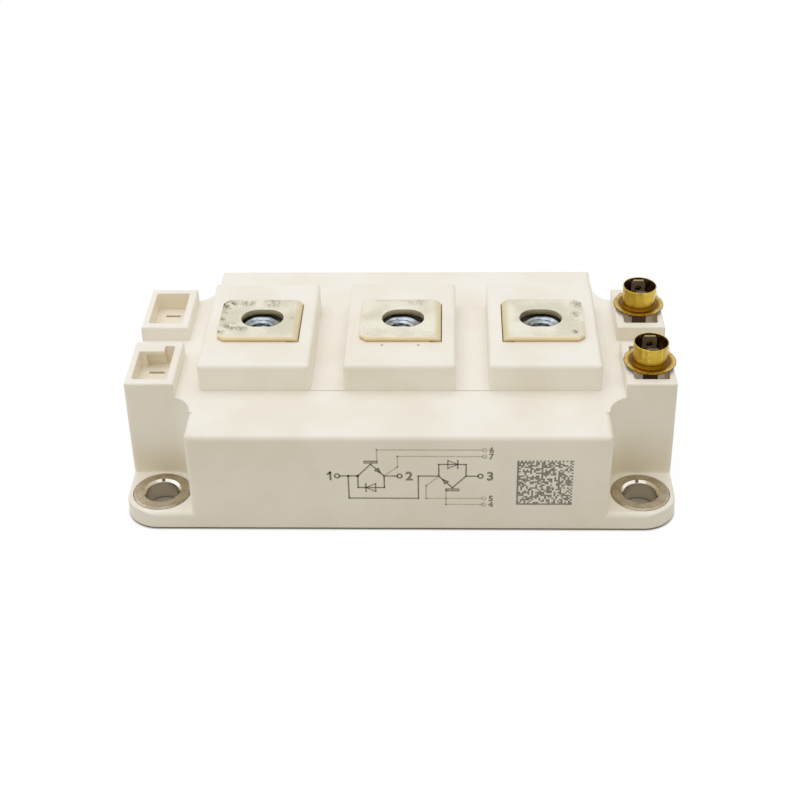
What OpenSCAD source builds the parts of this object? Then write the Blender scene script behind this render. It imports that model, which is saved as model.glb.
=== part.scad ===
// Half-bridge power module: a moulded case on a metal baseplate, three screw terminals on raised
// pads, four corner bushings and two pairs of control tabs with slip-on shorting eyelets.
// Millimetres, +Z up. X runs along the length and the control tabs are at the +X end.
// The origin is the centre of the baseplate's underside, and the screw terminals face +Z.

/* [Case] */
// Overall length of the case along X
case_l = 106.4; // [105:0.2:112]
// Overall width of the case along Y
case_w = 61.4; // [60.6:0.2:66]
// Height of the mounting flange's top face above the baseplate's underside
flange_top = 3.9; // [3.7:0.1:5]
// Corner radius of the flange seen from above
corner_r = 6.5; // [5.5:0.1:7]
// Length along X of each end block beyond the tall middle body
end_l = 13.4; // [13:0.1:13.9]
// Width along Y of the recess beside an end block
recess_w = 13; // [12.7:0.1:13.2]
// Height of the body's flat top
body_top = 22; // [21:0.25:26]
// Concave radius where the body meets an end block beside a bushing
recess_r = 5; // [2:0.25:5.5]
// Rounding of the body's top edges
edge_r = 1; // [0.4:0.1:1.6]
// Wall thickness of the moulded case
wall = 2; // [1.2:0.1:2.2]
// How far each end face leans in over its height
end_taper = 0.45; // [0.05:0.05:0.8]
// Rounding of the end blocks' upright edges
block_r = 1.2; // [0.5:0.1:2]
// Rounding of the sockets' rims
rim_r = 0.4; // [0.1:0.05:0.5]
// Height of the low plinth that carries the pads
plinth_h = 0.15; // [0.05:0.05:0.6]

/* [Terminal pads] */
// Distance of an outer pad from the body's end
pad_margin = 1; // [0.9:0.1:2]
// Length of a pad along X
pad_l = 21.6; // [20.4:0.1:21.8]
// Width of a pad along Y
pad_w = 31.2; // [24:0.2:34]
// Height of a pad above the body's top
pad_h = 5.7; // [4:0.1:8]
// Rounding of a pad's top edges
pad_edge_r = 0.8; // [0.3:0.1:1.4]

/* [Baseplate and bushings] */
// Thickness of the metal baseplate
base_t = 3; // [2.5:0.1:3.2]
// Width of the case's skirt around the baseplate
skirt_t = 0.9; // [0.6:0.05:1.2]
// Height of the skirt's lower edge above the baseplate's underside
skirt_lift = 0.4; // [0.2:0.1:1]
// Distance of a mounting hole's axis from the case's two nearest edges
hole_inset = 6.7; // [6.6:0.05:7]
// Diameter of a mounting hole
hole_d = 6.4; // [5.5:0.1:6.8]
// Diameter of a bushing's collar
collar_d = 11.2; // [10.2:0.1:11.4]
// How far a collar stands above the flange
collar_proud = 0.3; // [0.1:0.05:1]
// Diameter of the bushing's spigot inside the baseplate
spigot_d = 8.4; // [7.8:0.1:9]
// Depth of the chamfer at a mounting hole's mouth
hole_chamfer = 0.45; // [0.1:0.05:0.8]

/* [Screw terminals] */
// Length of the flat terminal plate along X, bend included
term_l = 16; // [15.6:0.1:17]
// Width of the terminal strip along Y
term_w = 14; // [10:0.2:15]
// Thickness of the terminal strip
term_t = 1.1; // [0.8:0.05:1.3]
// Length of the oblong screw hole along X
term_hole_l = 8.4; // [6.8:0.1:9]
// Width of the oblong screw hole along Y
term_hole_w = 6.6; // [6.4:0.1:7.4]
// Shift of the screw hole from the pad's centre towards the bend
term_hole_shift = 0.4; // [0:0.1:0.6]
// Chamfer of the plate's two free corners
term_chamfer = 1.2; // [0.4:0.1:2]
// Inside radius of the strip's bends
bend_r = 0.6; // [0.3:0.05:0.8]
// Width along Y of each soldered foot
foot_w = 3.4; // [2.4:0.1:3.8]
// Length of a foot along X
foot_l = 2.4; // [1.5:0.1:2.8]
// Height of the middle terminal's cross run above the tracks
run_rise = 4.3; // [4:0.1:6]

/* [Terminal nuts] */
// Width of a nut across its flats
nut_af = 10; // [9.6:0.1:10.4]
// Height of a nut
nut_h = 5; // [4:0.1:6]
// Bore of a nut before its thread
nut_bore = 5; // [4.6:0.1:5.4]
// Free height between a nut and the plate over it
nut_gap = 0.7; // [0.2:0.1:2]
// Diameter of the screw well below a nut
well_d = 7; // [6.4:0.1:8]
// Depth of the screw well
well_depth = 4.5; // [2:0.1:5]

/* [Control sockets] */
// Height of a socket's rim above the body's top
socket_h = 3; // [2:0.1:5]
// Length of a socket along X
socket_l = 9.5; // [9:0.1:9.8]
// Width of a socket along Y
socket_w = 15.1; // [14.6:0.1:15.6]
// Thickness of the socket wall that faces the pads
socket_wall_in = 1.5; // [1:0.05:1.6]
// Thickness of the socket wall at the case's end
socket_wall_out = 1.2; // [1:0.05:1.4]
// Thickness of the socket walls along X
socket_wall_y = 1.7; // [1:0.05:1.8]
// Thickness of a socket's floor over the hollow case
socket_floor = 1.3; // [0.8:0.05:1.6]
// Width of the keyed lug in the front left socket
lug_l = 4.9; // [3:0.1:5.4]
// Depth of that lug
lug_w = 2; // [1.6:0.1:2.4]

/* [Control tabs] */
// How far a pair of tabs stands outwards from the middle of its socket
pair_shift = 0.45; // [0.15:0.05:0.65]
// Distance between the two tabs of a pair
tab_gap = 4.8; // [4.4:0.05:4.9]
// Width of a tab
tab_w = 2.8; // [2.5:0.05:2.9]
// Thickness of a tab
tab_t = 0.5; // [0.3:0.05:0.6]
// Height of a tab above its socket's rim
tab_rise = 4.8; // [3:0.1:6]
// Diameter of the hole in a tab
tab_hole_d = 1.4; // [0.8:0.1:1.6]
// Height of a lead's arm inside the case above the tracks
arm_rise = 7.8; // [7.6:0.1:8.4]

/* [Shorting eyelets] */
// Sheet thickness of an eyelet
eyelet_t = 0.2; // [0.15:0.01:0.3]
// How much wider an eyelet's barrel is at its mouth than at its root, in radius
eyelet_flare = 0.1; // [0.05:0.01:0.3]
// Radius between an eyelet's barrel and its flange
eyelet_root_r = 0.6; // [0.3:0.05:0.9]
// Diameter of an eyelet's flange
eyelet_flange_d = 10.1; // [9.6:0.1:10.3]
// Height of an eyelet
eyelet_h = 5; // [4.6:0.1:7]
// Height at which an eyelet's flange is held above the socket's rim
eyelet_lift = 0.65; // [0.4:0.05:0.8]
// Radius of the turned-under edge on which an eyelet stands
eyelet_seat_r = 4.2; // [4:0.1:4.4]

/* [Substrates and chips] */
// Distance of a ceramic tile from the case's inner end wall
tile_clear = 0.6; // [0.4:0.05:1]
// Distance of a ceramic tile's long edges from the case's long sides
tile_inset = 4.7; // [3:0.1:5]
// Gap between the two tiles
tile_gap = 2.4; // [2:0.1:2.6]
// Thickness of a ceramic tile
ceramic_t = 0.63; // [0.38:0.01:1]
// Thickness of the copper on both faces of a tile
copper_t = 0.3; // [0.2:0.01:0.4]
// Side of a transistor chip
igbt_side = 9.6; // [8:0.1:11]
// Side of a diode chip
diode_side = 6.4; // [6:0.1:9]
// Thickness of the chips
chip_t = 0.25; // [0.12:0.01:0.4]
// Distance of an outer transistor chip from the tracks' ends
chip_margin = 3.7; // [3:0.1:4]
// Diameter of a bond wire
wire_d = 0.4; // [0.3:0.02:0.5]
// Distance between neighbouring bond wires
wire_pitch = 2.4; // [1:0.1:2.5]
// Height of the poured gel above the tracks
gel_rise = 6.2; // [5.8:0.1:6.6]

/* [Hidden] */
$fn = 48;

// Clearances between pieces, the sealant's thickness, the middle terminal's distance from its
// track's edge, and the overlap that keeps a cut from ending on a face.
fit = 0.1;
eyelet_fit = 0.07;
plate_clear = 0.05;
seal_t = 0.2;
foot_clear = 0.4;
cut = 1;

// Plan of the case: the body, the end blocks, the pads and the mounting holes.
body_l = case_l - 2 * end_l;
end_w = case_w - 2 * recess_w;
pad_pitch = body_l / 2 - pad_margin - pad_l / 2;
hole_span_x = case_l - 2 * hole_inset;
hole_span_y = case_w - 2 * hole_inset;

// Heights of the layers, from the bottom up.
z_back = base_t;
z_tile = z_back + copper_t;
z_track = z_tile + ceramic_t;
z_chip = z_track + copper_t;
z_chip_top = z_chip + chip_t;
z_gel = z_chip + gel_rise;
z_arm = z_chip + arm_rise;
z_ceiling = body_top - wall;
z_rim = body_top + socket_h;
z_pad = body_top + pad_h;
z_plate = z_pad + plate_clear;
z_plate_top = z_plate + term_t;
z_nut = z_plate - nut_gap - nut_h;
z_pocket = z_ceiling + socket_floor;

// Case: slope of the end faces, sockets at the ends, and the towers that hold the nuts.
lean_angle = atan(end_taper / (z_rim - flange_top));
socket_x0 = case_l / 2 - end_taper - socket_l;
socket_y = end_w / 2 - socket_w / 2;
pocket_x0 = socket_x0 + socket_wall_in;
pocket_x1 = case_l / 2 - end_taper - socket_wall_out;
pocket_r = 0.5;
pair_y = socket_y + pair_shift;
tab_x = (pocket_x0 + pocket_x1) / 2;
pocket_hex_af = nut_af + 2 * fit;
tower_w = term_w + 1;
tower_floor = 1.5;
z_tower = z_nut - well_depth - tower_floor;
slot_x0 = term_l / 2 - term_t - fit;
slot_x1 = term_l / 2 + fit;

// Keyed lug: roof over its window, its closed side and its back.
lug_top = 0.7;
lug_side = 1.3;
lug_back = 0.7;

// Bushing: rounding of its collar, and how far its spigot stays above the underside.
collar_r = 0.3;
spigot_lift = 0.2;

// Terminals: lower and upper edge of an outer terminal's cross bar above the tracks, and the
// length of the middle terminal's bar.
bar_rise = 3.4;
bar_top_rise = 6;
bar_l = 4;

// Nut: chamfer of its corners beyond the flats, and of its bore.
nut_bevel = 0.15;
nut_mouth = 0.6;

// Control tab: its pointed tip, the hole below it, the shoulders under the ceiling and the arm.
tab_tip = 0.35;
hole_drop = 1.8;
shoulder_w = 4;
shoulder_h = 1.5;
arm_h = 2.8;

// Tiles, and the copper tracks of one tile from the middle of the module outwards.
tile_x0 = tile_gap / 2;
tile_x1 = body_l / 2 - wall - tile_clear;
tile_l = tile_x1 - tile_x0;
tile_w = case_w - 2 * tile_inset;
tile_edge = 1;
track_gap = 1;
sense_gap = 0.8;
emitter_l = 5.2;
gate_l = 1.6;
sense_l = 1.4;
emitter_x0 = tile_x0 + tile_edge;
emitter_x = emitter_x0 + emitter_l / 2;
collector_x0 = emitter_x0 + emitter_l + track_gap;
sense_x0 = tile_x1 - tile_edge - sense_l;
gate_x0 = sense_x0 - sense_gap - gate_l;
collector_x1 = gate_x0 - track_gap;
gate_x = gate_x0 + gate_l / 2;
sense_x = sense_x0 + sense_l / 2;
track_w = tile_w - 2 * tile_edge;
chip_pitch = (track_w - igbt_side) / 2 - chip_margin;
chip_edge = 0.5;
diode_x = collector_x0 + chip_edge + diode_side / 2;
igbt_x = collector_x1 - chip_edge - igbt_side / 2;
strap_w = 2.4;
strap_t = 0.5;
strap_rise = 2.2;
strap_y = track_w / 2 - strap_w / 2;
foot_y = chip_pitch / 2;
drop_x = -emitter_x0 - foot_clear;
lead_leg_w = 1.2;

// Bond wires: rise of the power and the sense wires, and how far they land inside a chip's middle
// and its edge.
power_rise = 1.7;
sense_rise = 1.1;
wire_inset = 2.2;
wire_edge = 1;

// Gel: its skin to the walls and tiles, the height to which it leaves the chips and wires free, and
// its distance from a metal leg.
gel_skin = 0.1;
gel_clear = 3.1;
leg_gap = 0.3;

CORNERS = [[-1, -1], [1, -1], [-1, 1], [1, 1]];
PADS = [-1, 0, 1];
ROWS = [-1, 0, 1];

TABS = [4, 5, 6, 7];

// Tabs 4 and 5 are the front pair and serve the right tile; 6 and 7, the rear pair, serve the left.
// The outer tab of a pair lands on the gate track and the inner one on the sense track.
function tab_is_front(n) = n < 6;
function tab_is_outer(n) = n == 4 || n == 7;
function tab_y(n) = (tab_is_front(n) ? -1 : 1) * (pair_y + (tab_is_outer(n) ? 1 : -1) * tab_gap / 2);
function tab_foot_x(n) = (tab_is_front(n) ? 1 : -1) * (tab_is_outer(n) ? gate_x : sense_x);

// ---------------------------------------------------------------- shared shapes

// A rectangle centred on the origin with round corners.
module rounded_rect(l, w, r) {
    square([l - 2 * r, w], center = true);
    square([l, w - 2 * r], center = true);
    for (c = CORNERS)
        translate([c[0] * (l / 2 - r), c[1] * (w / 2 - r)]) circle(r);
}

// A rectangle from height 0 to h whose two top corners are round.
module arched_rect(l, h, r) {
    translate([-l / 2, 0]) square([l, h - r]);
    translate([-l / 2 + r, 0]) square([l - 2 * r, h]);
    for (s = [-1, 1])
        translate([s * (l / 2 - r), h - r]) circle(r);
}

// A block from z0 to z1 with round upright edges and round top edges.
module soft_block(l, w, z0, z1, side_r, top_r) {
    h = z1 - z0;
    intersection() {
        translate([0, 0, z0]) linear_extrude(h) rounded_rect(l, w, side_r);
        translate([0, w / 2, z0]) rotate([90, 0, 0]) linear_extrude(w) arched_rect(l, h, top_r);
        translate([-l / 2, 0, z0]) rotate([90, 0, 90]) linear_extrude(l) arched_rect(w, h, top_r);
    }
}

// A box given by its middle in X and Y and by its two heights.
module box_at(x, y, l, w, z0, z1) {
    translate([x - l / 2, y - w / 2, z0]) cube([l, w, z1 - z0]);
}

// A quarter turn of flat strip: it joins a run along X to a run along Z.
module strip_bend(w) {
    rotate([90, 0, 0]) rotate_extrude(angle = 90) translate([bend_r, -w / 2]) square([term_t, w]);
}

// ---------------------------------------------------------------- case

// Section of one end of the case up to z1: its outer face leans in above the flange and meets the
// top in an arc of radius r that touches both.
module end_section(x0, z1, r) {
    arc_x = case_l / 2 - (z1 - r - flange_top) * tan(lean_angle) - r / cos(lean_angle);
    polygon([[x0, skirt_lift], [case_l / 2, skirt_lift], [case_l / 2, flange_top],
             [arc_x + r * cos(lean_angle), z1 - r + r * sin(lean_angle)], [arc_x, z1],
             [x0 + r, z1], [x0, z1 - r]]);
    for (x = [x0 + r, arc_x])
        translate([x, z1 - r]) circle(r);
}

// One end of the case between y0 and y1, with round top edges all round.
module end_slab(x0, y0, y1, z1, r) {
    intersection() {
        translate([0, y1, 0]) rotate([90, 0, 0]) linear_extrude(y1 - y0) end_section(x0, z1, r);
        translate([x0 - cut, (y0 + y1) / 2, skirt_lift]) rotate([90, 0, 90])
            linear_extrude(case_l / 2 - x0 + 2 * cut) arched_rect(y1 - y0, z1 - skirt_lift, r);
    }
}

// Solid corner that gives the concave radius beside a bushing.
module recess_fillet() {
    difference() {
        translate([body_l / 2 - cut, end_w / 2 - cut, skirt_lift])
            cube([recess_r + cut, recess_r + cut, body_top - skirt_lift]);
        translate([body_l / 2 + recess_r, end_w / 2 + recess_r, 0])
            cylinder(r = recess_r, h = body_top + cut);
    }
}

module case_outside() {
    soft_block(case_l, case_w, skirt_lift, flange_top, corner_r, edge_r);
    soft_block(body_l, case_w, skirt_lift, body_top, edge_r, edge_r);
    for (k = PADS)
        translate([k * pad_pitch, 0, 0])
            soft_block(pad_l, pad_w, z_ceiling, z_pad, pad_edge_r, pad_edge_r);
    box_at(0, 0, 2 * pad_pitch, pad_w, z_ceiling, body_top + plinth_h);
    for (s = [0, 1]) mirror([s, 0, 0]) {
        intersection() {
            translate([0, 0, skirt_lift]) linear_extrude(z_rim - skirt_lift)
                rounded_rect(case_l, end_w, block_r);
            union() {
                end_slab(body_l / 2 - wall, -end_w / 2, end_w / 2, body_top, rim_r);
                for (y = [-end_w / 2, end_w / 2 - socket_w])
                    end_slab(socket_x0, y, y + socket_w, z_rim, rim_r);
            }
        }
        for (m = [0, 1]) mirror([0, m, 0]) recess_fillet();
    }
}

// Outline of the room inside the case, grown by g on every side.
module hollow_outline(g) {
    square([body_l - 2 * (wall - g), case_w - 2 * (wall - g)], center = true);
    square([case_l - 2 * (wall + end_taper - g), end_w - 2 * (wall - g)], center = true);
}

// Room inside the case, open at the bottom where the baseplate closes it.
module case_hollow() {
    base_l = case_l - 2 * skirt_t;
    base_w = case_w - 2 * skirt_t;
    linear_extrude(z_ceiling) hollow_outline(0);
    translate([0, 0, skirt_lift - cut])
        linear_extrude(base_t + seal_t - skirt_lift + cut) rounded_rect(base_l, base_w, corner_r - skirt_t);
    for (k = PADS) for (s = [-1, 1]) {
        core_w = (pad_w - tower_w) / 2 - wall;
        box_at(k * pad_pitch, s * (tower_w + core_w) / 2, pad_l - 2 * wall, core_w,
               z_ceiling - cut, z_pad - wall);
    }
}

// Tower under a pad that carries the nut pocket.
module nut_tower() {
    box_at((slot_x0 - pocket_hex_af / 2 - wall) / 2, 0, slot_x0 + pocket_hex_af / 2 + wall, tower_w,
           z_tower, z_pad - pad_edge_r);
}

// Everything that is cut from a pad: slot for the strip, relief under its bend, hexagonal pocket
// and screw well.
module pad_cuts() {
    box_at((slot_x0 + slot_x1) / 2, 0, slot_x1 - slot_x0, term_w + 2 * fit, z_tower - cut, z_pad + cut);
    box_at(slot_x0 - bend_r / 2, 0, bend_r + cut, term_w + 2 * fit, z_pad - bend_r, z_pad + cut);
    translate([0, 0, z_nut]) rotate(30)
        cylinder(d = pocket_hex_af / cos(30), h = z_pad - z_nut + cut, $fn = 6);
    translate([0, 0, z_nut - well_depth]) cylinder(d = well_d, h = well_depth + cut);
}

// Pocket of one socket, with the two slits that its tabs come up through.
module socket_cuts() {
    translate([tab_x, socket_y, z_pocket]) linear_extrude(z_rim - z_pocket + cut)
        rounded_rect(pocket_x1 - pocket_x0, socket_w - 2 * socket_wall_y, pocket_r);
    for (s = [-1, 1])
        box_at(tab_x, pair_y + s * tab_gap / 2, tab_w + 2 * fit, tab_t + 2 * fit,
               z_ceiling - cut, z_pocket + cut);
}

// Lug on the front left socket's rear wall, with a window that is open towards the pads.
module keyed_lug() {
    inner_y = socket_y - socket_w / 2 + socket_wall_y;
    translate([pocket_x1 - lug_l, inner_y - cut, z_pocket - cut]) difference() {
        cube([lug_l + cut, lug_w + cut, z_rim - z_pocket + cut]);
        translate([-cut, cut + lug_back, 0])
            cube([lug_l + cut - lug_side, lug_w + cut, z_rim - z_pocket + cut - lug_top]);
    }
}

module housing() {
    color("#EFEADB") difference() {
        union() {
            difference() {
                case_outside();
                case_hollow();
                for (s = [0, 1]) for (m = [0, 1]) mirror([s, 0, 0]) mirror([0, m, 0]) socket_cuts();
            }
            for (k = PADS) translate([k * pad_pitch, 0, 0]) mirror([k > 0 ? 1 : 0, 0, 0]) nut_tower();
            mirror([1, 0, 0]) mirror([0, 1, 0]) keyed_lug();
        }
        for (k = PADS) translate([k * pad_pitch, 0, 0]) mirror([k > 0 ? 1 : 0, 0, 0]) pad_cuts();
        for (c = CORNERS)
            translate([c[0] * hole_span_x / 2, c[1] * hole_span_y / 2, 0])
                cylinder(d = collar_d + 2 * fit, h = flange_top + cut);
    }
}

// ---------------------------------------------------------------- base

module baseplate() {
    base_l = case_l - 2 * (skirt_t + fit);
    base_w = case_w - 2 * (skirt_t + fit);
    color("#B9B4A8") difference() {
        linear_extrude(base_t) rounded_rect(base_l, base_w, corner_r - skirt_t - fit);
        for (c = CORNERS)
            translate([c[0] * hole_span_x / 2, c[1] * hole_span_y / 2, -cut])
                cylinder(d = spigot_d + 2 * fit, h = base_t + 2 * cut);
    }
}

// Bead of sealant that joins the case's underside to the baseplate.
module sealant_bead() {
    color("#D8D4CC") translate([0, 0, base_t]) linear_extrude(seal_t) difference() {
        hollow_outline(wall - skirt_t - 2 * fit);
        hollow_outline(0);
    }
}

// Metal sleeve at one corner: its spigot fills the baseplate's hole and its collar takes the screw.
module mount_bushing(sx, sy) {
    collar_top = flange_top + collar_proud;
    hole_r = hole_d / 2;
    color("#B7AD9A") translate([sx * hole_span_x / 2, sy * hole_span_y / 2, 0]) difference() {
        union() {
            translate([0, 0, spigot_lift]) cylinder(d = spigot_d, h = collar_top - spigot_lift);
            rotate_extrude()
                polygon([[0, base_t], [collar_d / 2, base_t], [collar_d / 2, collar_top - collar_r],
                         [collar_d / 2 - collar_r, collar_top], [0, collar_top]]);
        }
        translate([0, 0, -cut]) cylinder(r = hole_r, h = collar_top + 2 * cut);
        translate([0, 0, collar_top - hole_chamfer])
            cylinder(r1 = hole_r, r2 = hole_r + hole_chamfer + cut, h = hole_chamfer + cut);
    }
}

// ---------------------------------------------------------------- screw terminals

// Flat plate over the nut, from its free end to the start of the bend.
module terminal_plate() {
    flat_l = term_l - bend_r - term_t;
    slot_r = term_hole_w / 2;
    slot_shift = (term_hole_l - term_hole_w) / 2;
    translate([0, 0, z_plate]) linear_extrude(term_t) difference() {
        polygon([[-term_l / 2, -term_w / 2 + term_chamfer], [-term_l / 2 + term_chamfer, -term_w / 2],
                 [flat_l - term_l / 2, -term_w / 2], [flat_l - term_l / 2, term_w / 2],
                 [-term_l / 2 + term_chamfer, term_w / 2], [-term_l / 2, term_w / 2 - term_chamfer]]);
        translate([term_hole_shift, 0]) {
            square([2 * slot_shift, term_hole_w], center = true);
            for (s = [-1, 1]) translate([s * slot_shift, 0]) circle(slot_r);
        }
    }
}

// Plate, bend and upright leg down to height z.
module terminal_top(z) {
    bend_out = bend_r + term_t;
    terminal_plate();
    translate([term_l / 2 - bend_out, 0, z_plate_top - bend_out]) strip_bend(term_w);
    box_at(term_l / 2 - term_t / 2, 0, term_t, term_w, z, z_plate_top - bend_out);
}

// A pair of feet: each runs down from height z, turns towards -X and lies on a track.
module terminal_feet(x_out, z) {
    bend_out = bend_r + term_t;
    for (s = [-1, 1]) translate([0, s * foot_y, 0]) {
        box_at(x_out - term_t / 2, 0, term_t, foot_w, z_chip + bend_out, z);
        translate([x_out - bend_out, 0, z_chip + bend_out]) mirror([0, 0, 1]) strip_bend(foot_w);
        box_at(x_out - bend_out - foot_l / 2, 0, foot_l, foot_w, z_chip, z_chip + term_t);
    }
}

// Outer terminal: its leg drops straight onto the collector track below.
module outer_terminal(k) {
    bar_z0 = z_chip + bar_rise;
    bar_z1 = z_chip + bar_top_rise;
    color("#D8CFB2") translate([k * pad_pitch, 0, 0]) mirror([k > 0 ? 1 : 0, 0, 0]) {
        terminal_top(bar_z1);
        box_at(term_l / 2 - term_t / 2, 0, term_t, 2 * foot_y + foot_w, bar_z0, bar_z1);
        terminal_feet(term_l / 2, bar_z0);
    }
}

// Middle terminal: a cross run carries it over to the left tile's emitter track.
module middle_terminal() {
    run_z0 = z_chip + run_rise;
    run_z1 = run_z0 + term_t;
    color("#D8CFB2") {
        terminal_top(run_z1 + bend_r);
        translate([term_l / 2 - term_t - bend_r, 0, run_z1 + bend_r]) mirror([0, 0, 1]) strip_bend(term_w);
        box_at((term_l / 2 - term_t - bend_r + drop_x + bend_r) / 2, 0,
               term_l / 2 - term_t - 2 * bend_r - drop_x, term_w, run_z0, run_z1);
        box_at(drop_x + bend_r + bar_l / 2, 0, bar_l, 2 * foot_y + foot_w, run_z0, run_z1);
        for (s = [-1, 1])
            translate([drop_x + bend_r, s * foot_y, run_z0 - bend_r]) mirror([1, 0, 0]) strip_bend(foot_w);
        terminal_feet(drop_x, run_z0 - bend_r);
    }
}

// Loose hexagonal nut with chamfered corners on both faces.
module terminal_nut(k) {
    nut_r = nut_af / 2 / cos(30);
    bevel = nut_r - nut_af / 2 + nut_bevel;
    bevel_h = bevel * tan(30);
    color("#AEB6BC") translate([k * pad_pitch, 0, z_nut]) difference() {
        intersection() {
            rotate(30) cylinder(r = nut_r, h = nut_h, $fn = 6);
            rotate_extrude()
                polygon([[0, 0], [nut_r - bevel, 0], [nut_r, bevel_h], [nut_r, nut_h - bevel_h],
                         [nut_r - bevel, nut_h], [0, nut_h]]);
        }
        translate([0, 0, -cut]) cylinder(d = nut_bore, h = nut_h + 2 * cut);
        for (s = [0, 1]) translate([0, 0, s * nut_h]) mirror([0, 0, s]) translate([0, 0, -cut])
            cylinder(r1 = nut_bore / 2 + nut_mouth + cut, r2 = nut_bore / 2, h = nut_mouth + cut);
    }
}

// ---------------------------------------------------------------- control tabs

// Stamped lead: a tab above the case, shoulders under the ceiling, an arm and a foot on a track.
module control_tab(n) {
    top = z_rim + tab_rise;
    foot_x = tab_foot_x(n);
    arm_l = tab_x + tab_w / 2 - foot_x + lead_leg_w / 2;
    color("#C9B27A") translate([0, tab_y(n) + tab_t / 2, 0]) rotate([90, 0, 0])
        linear_extrude(tab_t) difference() {
            union() {
                polygon([[tab_x - tab_w / 2, z_arm], [tab_x + tab_w / 2, z_arm],
                         [tab_x + tab_w / 2, top - 2 * tab_tip], [tab_x + tab_w / 2 - tab_tip, top],
                         [tab_x - tab_w / 2 + tab_tip, top], [tab_x - tab_w / 2, top - 2 * tab_tip]]);
                translate([tab_x - shoulder_w / 2, z_ceiling - fit - shoulder_h])
                    square([shoulder_w, shoulder_h]);
                translate([foot_x - lead_leg_w / 2, z_arm]) square([arm_l, arm_h]);
                translate([foot_x - lead_leg_w / 2, z_chip]) square([lead_leg_w, z_arm - z_chip + cut]);
            }
            translate([tab_x, top - hole_drop]) circle(d = tab_hole_d);
        }
}

// Drawn brass sleeve pushed over a pair of tabs. The edge of its flange is turned under and stands
// on the socket's rim, and its barrel widens a little towards the mouth.
module shorting_eyelet(sy) {
    r_in = norm([tab_gap / 2 + tab_t / 2, tab_w / 2]) + eyelet_fit;
    r_out = r_in + eyelet_t;
    edge_x = eyelet_flange_d / 2 - eyelet_t / 2;
    lip_z = eyelet_h - eyelet_t / 2;
    z0 = eyelet_lift;
    color("#C49A35") translate([tab_x, sy * pair_y, z_rim]) rotate_extrude() {
        translate([r_in, z0]) square([edge_x - r_in, eyelet_t]);
        translate([edge_x, z0 + eyelet_t / 2]) circle(eyelet_t / 2);
        polygon([[eyelet_seat_r - eyelet_t, 0], [eyelet_seat_r, 0], [edge_x, z0 + eyelet_t / 2],
                 [edge_x - eyelet_t, z0 + eyelet_t / 2]]);
        polygon([[r_in, z0], [r_out, z0], [r_out + eyelet_flare, lip_z], [r_in + eyelet_flare, lip_z]]);
        translate([r_in + eyelet_t / 2 + eyelet_flare, lip_z]) circle(eyelet_t / 2);
        difference() {
            translate([r_out - eyelet_t / 2, z0 + eyelet_t / 2])
                square([eyelet_root_r + eyelet_t / 2, eyelet_root_r + eyelet_t / 2]);
            translate([r_out + eyelet_root_r, z0 + eyelet_t + eyelet_root_r]) circle(eyelet_root_r);
        }
    }
}

// ---------------------------------------------------------------- substrates and chips

module on_side(side) {
    mirror([side < 0 ? 1 : 0, 0, 0]) children();
}

module copper_backing(side) {
    color("#B87348") on_side(side)
        box_at((tile_x0 + tile_x1) / 2, 0, tile_l - tile_edge, tile_w - tile_edge, z_back, z_tile);
}

module ceramic_tile(side) {
    color("#F2F0EA") on_side(side) box_at((tile_x0 + tile_x1) / 2, 0, tile_l, tile_w, z_tile, z_track);
}

// Emitter, collector, gate and sense tracks etched from one sheet.
module copper_tracks(side) {
    color("#B87348") on_side(side) {
        box_at(emitter_x, 0, emitter_l, track_w, z_track, z_chip);
        box_at((collector_x0 + collector_x1) / 2, 0, collector_x1 - collector_x0, track_w, z_track, z_chip);
        box_at(gate_x, 0, gate_l, track_w, z_track, z_chip);
        box_at(sense_x, 0, sense_l, track_w, z_track, z_chip);
    }
}

// Copper strap that joins the right emitter track to the left collector track.
module bridge_strap(sy) {
    left_x = -collector_x0 - strap_w / 2;
    right_x = emitter_x;
    top = z_chip + strap_rise;
    color("#C58358") translate([0, sy * strap_y, 0]) {
        box_at((left_x + right_x) / 2, 0, right_x - left_x, strap_w, top, top + strap_t);
        for (x = [left_x + strap_t / 2, right_x - strap_t / 2])
            box_at(x, 0, strap_t, strap_w, z_chip, top + strap_t);
    }
}

module igbt_chip(side, row) {
    color("#6B7480") on_side(side)
        box_at(igbt_x, row * chip_pitch, igbt_side, igbt_side, z_chip, z_chip_top);
}

module diode_chip(side, row) {
    color("#7C8694") on_side(side)
        box_at(diode_x, row * chip_pitch, diode_side, diode_side, z_chip, z_chip_top);
}

// One wire along X: an arc over the gap, standing on a pressed foot at each end.
module bond_wire(x0, x1, y, z0, z1, rise) {
    foot_len = 3 * wire_d;
    chord = x1 - x0;
    radius = (chord * chord / 4 + rise * rise) / (2 * rise);
    half_angle = asin(chord / 2 / radius);
    z_end = z_chip_top + wire_d / 2;
    translate([(x0 + x1) / 2, y, z_end + rise - radius]) rotate([90, 0, 0])
        rotate(90 - half_angle) rotate_extrude(angle = 2 * half_angle, $fn = 32)
            translate([radius, 0]) circle(d = wire_d, $fn = 16);
    box_at(x0, y, foot_len, wire_d, z0, z_end);
    box_at(x1, y, foot_len, wire_d, z1, z_end);
}

// All wires of one side: chip to diode to emitter track, and the gate and sense wires.
module bond_wires(side) {
    color("#D5D7D8") on_side(side) for (row = ROWS) translate([0, row * chip_pitch, 0]) {
        for (w = [-1, 0, 1]) {
            bond_wire(diode_x + wire_inset, igbt_x - wire_inset, w * wire_pitch,
                      z_chip_top, z_chip_top, power_rise);
            bond_wire(emitter_x, diode_x - wire_inset, w * wire_pitch, z_chip, z_chip_top, power_rise);
        }
        bond_wire(igbt_x + igbt_side / 2 - wire_edge, gate_x, 0, z_chip_top, z_chip, sense_rise / 2);
        bond_wire(igbt_x + wire_inset, sense_x, wire_pitch / 2 + wire_d, z_chip_top, z_chip, sense_rise);
    }
}

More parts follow.
